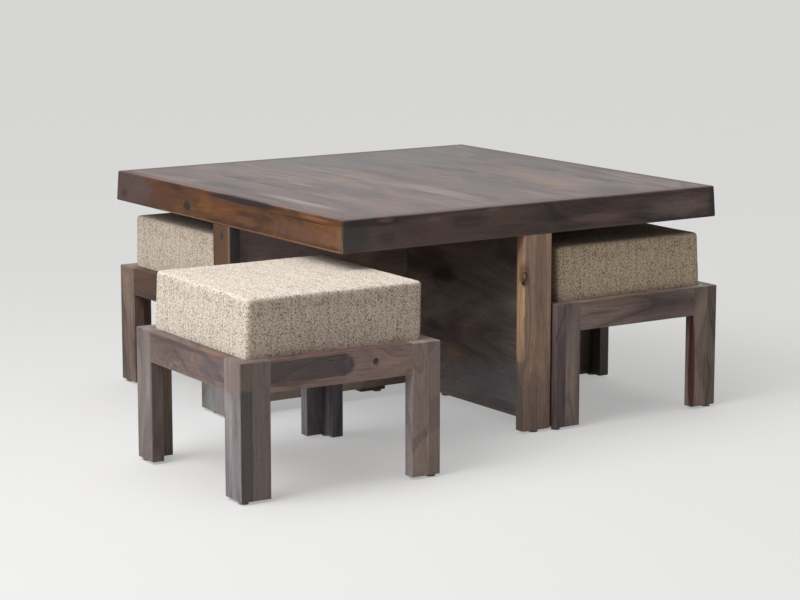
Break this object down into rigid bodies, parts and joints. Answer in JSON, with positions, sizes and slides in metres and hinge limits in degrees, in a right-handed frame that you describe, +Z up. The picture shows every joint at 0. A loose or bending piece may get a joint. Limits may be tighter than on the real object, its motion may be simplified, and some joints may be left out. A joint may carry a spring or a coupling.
{
  "type": "coffee table with nesting stools",
  "caption": "Square hardwood coffee table on a cross-halved panel base with cushioned box stools that slide out from under its top.",
  "frame": {"origin": "on the floor under the centre of the table top", "axes": "+X along the top's edge from its front corner to its right corner, +Y along the edge from the front corner to the left corner, +Z up"},
  "size_m": [1.2168, 1.0847, 0.455],
  "materials": {
    "plank_wood": "satin oiled hardwood, grain along the planks",
    "edge_wood": "satin oiled hardwood, grain along each board",
    "base_wood": "satin oiled hardwood",
    "stool_wood": "satin oiled hardwood",
    "cleat_wood": "plain sawn, unpolished",
    "seat_plywood": "plain",
    "cushion_fabric": "heathered flat weave",
    "glide_plastic": "smooth grey plastic"
  },
  "bodies": {
    "table": {"edge_board_back_right": "edge_wood", "edge_board_back_left": "edge_wood", "edge_board_front_left": "edge_wood", "edge_board_front_right": "edge_wood", "top_planks": "plank_wood", "edge_cleats": "cleat_wood", "panel_cleats": "cleat_wood", "cross_panel_slotted_above": "base_wood", "cross_panel_slotted_below": "base_wood", "post_back_right": "base_wood", "post_back_left": "base_wood", "post_front_left": "base_wood", "post_front_right": "base_wood", "table_glides": "glide_plastic"},
    "front_stool": {"front_stool_leg_front": "stool_wood", "front_stool_leg_right": "stool_wood", "front_stool_leg_back": "stool_wood", "front_stool_leg_left": "stool_wood", "front_stool_side_rails": "stool_wood", "front_stool_end_rails": "stool_wood", "front_stool_seat_cleats": "cleat_wood", "front_stool_seat_board": "seat_plywood", "front_stool_cushion": "cushion_fabric", "front_stool_glides": "glide_plastic"},
    "right_stool": {"right_stool_leg_front": "stool_wood", "right_stool_leg_right": "stool_wood", "right_stool_leg_back": "stool_wood", "right_stool_leg_left": "stool_wood", "right_stool_side_rails": "stool_wood", "right_stool_end_rails": "stool_wood", "right_stool_seat_cleats": "cleat_wood", "right_stool_seat_board": "seat_plywood", "right_stool_cushion": "cushion_fabric", "right_stool_glides": "glide_plastic"},
    "back_stool": {"back_stool_leg_front": "stool_wood", "back_stool_leg_right": "stool_wood", "back_stool_leg_back": "stool_wood", "back_stool_leg_left": "stool_wood", "back_stool_side_rails": "stool_wood", "back_stool_end_rails": "stool_wood", "back_stool_seat_cleats": "cleat_wood", "back_stool_seat_board": "seat_plywood", "back_stool_cushion": "cushion_fabric", "back_stool_glides": "glide_plastic"},
    "left_stool": {"left_stool_leg_front": "stool_wood", "left_stool_leg_right": "stool_wood", "left_stool_leg_back": "stool_wood", "left_stool_leg_left": "stool_wood", "left_stool_side_rails": "stool_wood", "left_stool_end_rails": "stool_wood", "left_stool_seat_cleats": "cleat_wood", "left_stool_seat_board": "seat_plywood", "left_stool_cushion": "cushion_fabric", "left_stool_glides": "glide_plastic"}
  },
  "joints": [
    {"name": "left_stool_slide", "type": "slide", "parent": "table", "child": "left_stool", "axis": [-0.7071, 0.7071, 0], "range_m": [0, 0.6]},
    {"name": "right_stool_slide", "type": "slide", "parent": "table", "child": "right_stool", "axis": [0.7071, -0.7071, 0], "range_m": [0, 0.6]},
    {"name": "back_stool_slide", "type": "slide", "parent": "table", "child": "back_stool", "axis": [0.7071, 0.7071, 0], "range_m": [0, 0.6]},
    {"name": "front_stool_slide", "type": "slide", "parent": "table", "child": "front_stool", "axis": [-0.869, -0.4949, 0], "range_m": [-0.353, 0.25]}
  ]
}
